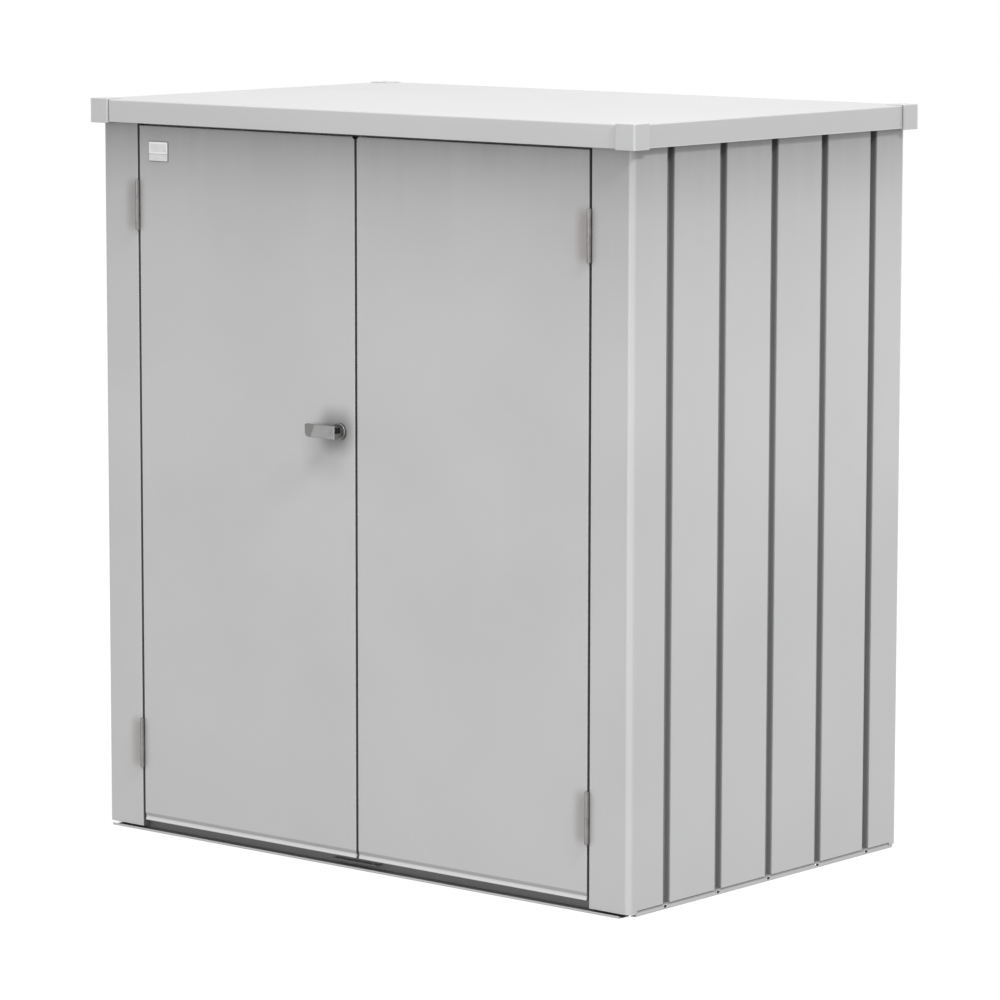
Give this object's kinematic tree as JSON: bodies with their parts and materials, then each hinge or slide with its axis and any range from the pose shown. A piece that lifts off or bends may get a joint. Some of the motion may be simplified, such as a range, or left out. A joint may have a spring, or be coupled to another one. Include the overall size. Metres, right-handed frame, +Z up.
{
  "type": "outdoor storage cabinet",
  "caption": "Sheet-steel outdoor storage cabinet with grooved walls, a pair of hinged doors with a lever lock, and a rear-hinged lid on gas struts.",
  "frame": {"origin": "on the ground, under the middle of the box that the cabinet and its lever fill", "axes": "+Z up, -Y towards the doors' side, +X to the right for someone who faces the doors"},
  "size_m": [1.32, 0.8572, 1.406],
  "materials": {
    "silver_paint": "baked silver metallic paint, fine grained, half matt",
    "zinc_steel": "hot-dip galvanised, faint spangle",
    "seal_rubber": "matt black foam strip",
    "hinge_steel": "plain stainless",
    "cap_plastic": "silver-grey moulded plastic, half matt",
    "black_steel": "black, half gloss",
    "badge_metal": "bare satin plate with no lettering",
    "lever_nickel": "satin, cast",
    "lock_brass": "turned, half gloss"
  },
  "bodies": {
    "carcass": {"base_rail_front": "silver_paint", "base_rail_rear": "silver_paint", "base_rail_left": "silver_paint", "base_rail_right": "silver_paint", "floor_plate": "zinc_steel", "post_front_left": "silver_paint", "post_front_right": "silver_paint", "post_rear_left": "silver_paint", "post_rear_right": "silver_paint", "side_panel_left": "silver_paint", "side_panel_right": "silver_paint", "back_panel_wide": "silver_paint", "back_panel_narrow": "silver_paint", "header_front": "silver_paint", "top_rail_rear": "zinc_steel", "top_rail_left": "zinc_steel", "top_rail_right": "zinc_steel", "lid_seal": "seal_rubber", "shelf": "zinc_steel", "threshold_keeper": "black_steel", "hinge_post_leaf_left_upper": "hinge_steel", "hinge_post_leaf_left_lower": "hinge_steel", "hinge_post_leaf_right_upper": "hinge_steel", "hinge_post_leaf_right_lower": "hinge_steel", "strut_foot_bracket_left": "zinc_steel", "strut_foot_bracket_right": "zinc_steel", "lid_hinge_wall_leaf": "hinge_steel", "lid_hinge_pin": "hinge_steel"},
    "lid": {"lid_panel": "silver_paint", "lid_cap_front_left": "cap_plastic", "lid_cap_front_right": "cap_plastic", "lid_cap_rear_left": "cap_plastic", "lid_cap_rear_right": "cap_plastic", "lid_stiffener_front": "zinc_steel", "lid_stiffener_rear": "zinc_steel", "lid_hinge_lid_leaf": "hinge_steel"},
    "strut_left_outer": {"strut_cylinder_left": "black_steel"},
    "strut_right_outer": {"strut_cylinder_right": "black_steel"},
    "strut_left_inner": {"strut_rod_left": "hinge_steel"},
    "strut_right_inner": {"strut_rod_right": "hinge_steel"},
    "door_left": {"door_left_skin": "silver_paint", "door_left_stiffener": "zinc_steel", "hinge_door_leaf_left_upper": "hinge_steel", "hinge_door_leaf_left_lower": "hinge_steel", "badge_plate": "badge_metal", "handle_rosette": "lever_nickel", "lock_case": "zinc_steel"},
    "lever": {"handle_lever": "lever_nickel", "lock_pinion": "lever_nickel"},
    "key": {"key_plug": "lock_brass"},
    "rod_upper": {"lock_rod_upper": "zinc_steel"},
    "rod_lower": {"lock_rod_lower": "zinc_steel"},
    "door_right": {"door_right_skin": "silver_paint", "door_right_stiffener": "zinc_steel", "hinge_door_leaf_right_upper": "hinge_steel", "hinge_door_leaf_right_lower": "hinge_steel", "bolt_housing_upper": "zinc_steel", "bolt_housing_lower": "zinc_steel"},
    "bolt_upper": {"slide_bolt_upper": "hinge_steel"},
    "bolt_lower": {"slide_bolt_lower": "hinge_steel"}
  },
  "joints": [
    {"name": "lid_hinge", "type": "hinge", "parent": "carcass", "child": "lid", "pos_m": [0, 0.4182, 1.3565], "axis": [-1, 0, 0], "range_deg": [0, 70]},
    {"name": "strut_left_foot", "type": "hinge", "parent": "carcass", "child": "strut_left_outer", "pos_m": [-0.615, 0.3751, 1.1181], "axis": [-1, 0, 0], "range_deg": [0, 24]},
    {"name": "strut_right_foot", "type": "hinge", "parent": "carcass", "child": "strut_right_outer", "pos_m": [0.615, 0.3751, 1.1181], "axis": [-1, 0, 0], "range_deg": [0, 24]},
    {"name": "strut_left_head", "type": "hinge", "parent": "lid", "child": "strut_left_inner", "pos_m": [-0.615, 0.271, 1.382], "axis": [-1, 0, 0], "range_deg": [-47, 0]},
    {"name": "strut_right_head", "type": "hinge", "parent": "lid", "child": "strut_right_inner", "pos_m": [0.615, 0.271, 1.382], "axis": [-1, 0, 0], "range_deg": [-47, 0]},
    {"name": "door_left_hinge", "type": "hinge", "parent": "carcass", "child": "door_left", "pos_m": [-0.54985, -0.4055, 0.68865], "axis": [0, 0, -1], "range_deg": [0, 170]},
    {"name": "door_right_hinge", "type": "hinge", "parent": "carcass", "child": "door_right", "pos_m": [0.54985, -0.4055, 0.68865], "axis": [0, 0, 1], "range_deg": [0, 170]},
    {"name": "lever_turn", "type": "hinge", "parent": "door_left", "child": "lever", "pos_m": [-0.03905, -0.402, 0.8148], "axis": [0, -1, 0], "range_deg": [0, 90]},
    {"name": "key_turn", "type": "hinge", "parent": "lever", "child": "key", "pos_m": [-0.03905, -0.402, 0.8148], "axis": [0, -1, 0], "range_deg": [0, 90]},
    {"name": "rod_upper_slide", "type": "slide", "parent": "door_left", "child": "rod_upper", "axis": [0, 0, 1], "range_m": [0, 0.01413]},
    {"name": "rod_lower_slide", "type": "slide", "parent": "door_left", "child": "rod_lower", "axis": [0, 0, -1], "range_m": [0, 0.0145]},
    {"name": "bolt_upper_slide", "type": "slide", "parent": "door_right", "child": "bolt_upper", "axis": [0, 0, 1], "range_m": [0, 0.016]},
    {"name": "bolt_lower_slide", "type": "slide", "parent": "door_right", "child": "bolt_lower", "axis": [0, 0, -1], "range_m": [0, 0.016]}
  ],
  "couplings": [
    {"joint": "strut_left_foot", "follows": "lid_hinge", "ratio": 0.335},
    {"joint": "strut_right_foot", "follows": "lid_hinge", "ratio": 0.335},
    {"joint": "strut_left_head", "follows": "lid_hinge", "ratio": -0.665},
    {"joint": "strut_right_head", "follows": "lid_hinge", "ratio": -0.665},
    {"joint": "lever_turn", "follows": "rod_upper_slide", "rad_per_m": 111.1},
    {"joint": "rod_lower_slide", "follows": "rod_upper_slide", "ratio": 1}
  ]
}
